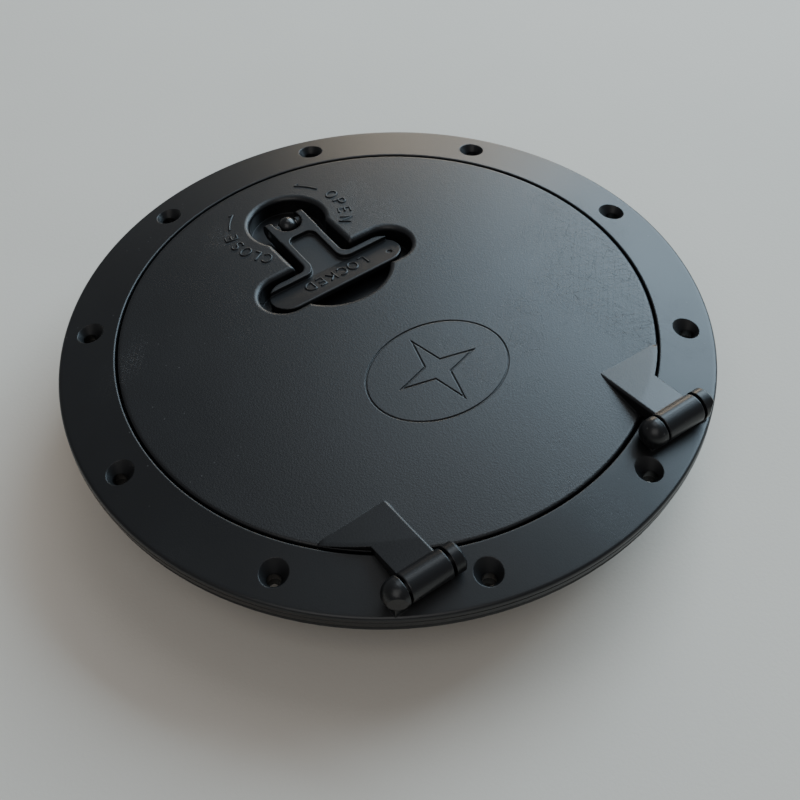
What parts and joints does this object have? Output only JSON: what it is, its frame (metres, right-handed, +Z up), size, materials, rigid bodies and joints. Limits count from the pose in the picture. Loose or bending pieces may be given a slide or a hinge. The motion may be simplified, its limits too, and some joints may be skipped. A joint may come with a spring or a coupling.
{
  "type": "deck hatch",
  "caption": "Round black deck hatch with a hinged, slightly domed lid, a sealed bolt-down rim and a folding T-handle latch sunk in a recess.",
  "frame": {"origin": "centre of the screw circle on the deck's surface, under the gasket", "axes": "+Z up and out of the deck, +Y from the hinges towards the latch, +X to the right when looking from the hinges to the latch"},
  "size_m": [0.245, 0.245, 0.0506],
  "materials": {
    "lid_plastic": "satin black, finely grained",
    "flange_plastic": "satin black, smooth",
    "handle_plastic": "semi-gloss black",
    "spindle_plastic": "semi-gloss black",
    "cam_plastic": "satin black",
    "bush_plastic": "satin black",
    "gasket_rubber": "matt black",
    "seal_rubber": "matt black",
    "pin_steel": "brushed stainless",
    "washer_steel": "brushed stainless",
    "spring_steel": "drawn stainless wire",
    "screw_steel": "machined stainless"
  },
  "bodies": {
    "frame": {"frame_ring": "flange_plastic", "deck_gasket": "gasket_rubber", "lid_seal": "seal_rubber", "hinge_pin_left": "pin_steel", "hinge_pin_right": "pin_steel"},
    "lid": {"lid_shell": "lid_plastic", "upper_spindle_bush": "bush_plastic", "lower_spindle_bush": "bush_plastic", "spindle_seal": "seal_rubber", "thrust_washer": "washer_steel"},
    "latch": {"latch_spindle": "spindle_plastic", "handle_pivot_pin": "pin_steel", "pivot_spacers": "bush_plastic", "latch_spring": "spring_steel", "spring_cup": "washer_steel", "latch_cam": "cam_plastic", "cam_washer": "washer_steel", "cam_lock_washer": "washer_steel", "cam_screw": "screw_steel"},
    "handle": {"t_handle": "handle_plastic"}
  },
  "joints": [
    {"name": "lid_swing", "type": "hinge", "parent": "frame", "child": "lid", "pos_m": [0, -0.0983, 0.01525], "axis": [1, 0, 0], "range_deg": [0, 180]},
    {"name": "latch_turn", "type": "hinge", "parent": "lid", "child": "latch", "pos_m": [0, 0.0694, 0], "axis": [0, 0, 1], "range_deg": [0, 30]},
    {"name": "handle_lift", "type": "hinge", "parent": "latch", "child": "handle", "pos_m": [0, 0.0694, 0.0119], "axis": [-1, 0, 0], "range_deg": [0, 90]}
  ],
  "couplings": [
    {"joint": "handle_lift", "follows": "latch_turn", "ratio": 3}
  ]
}
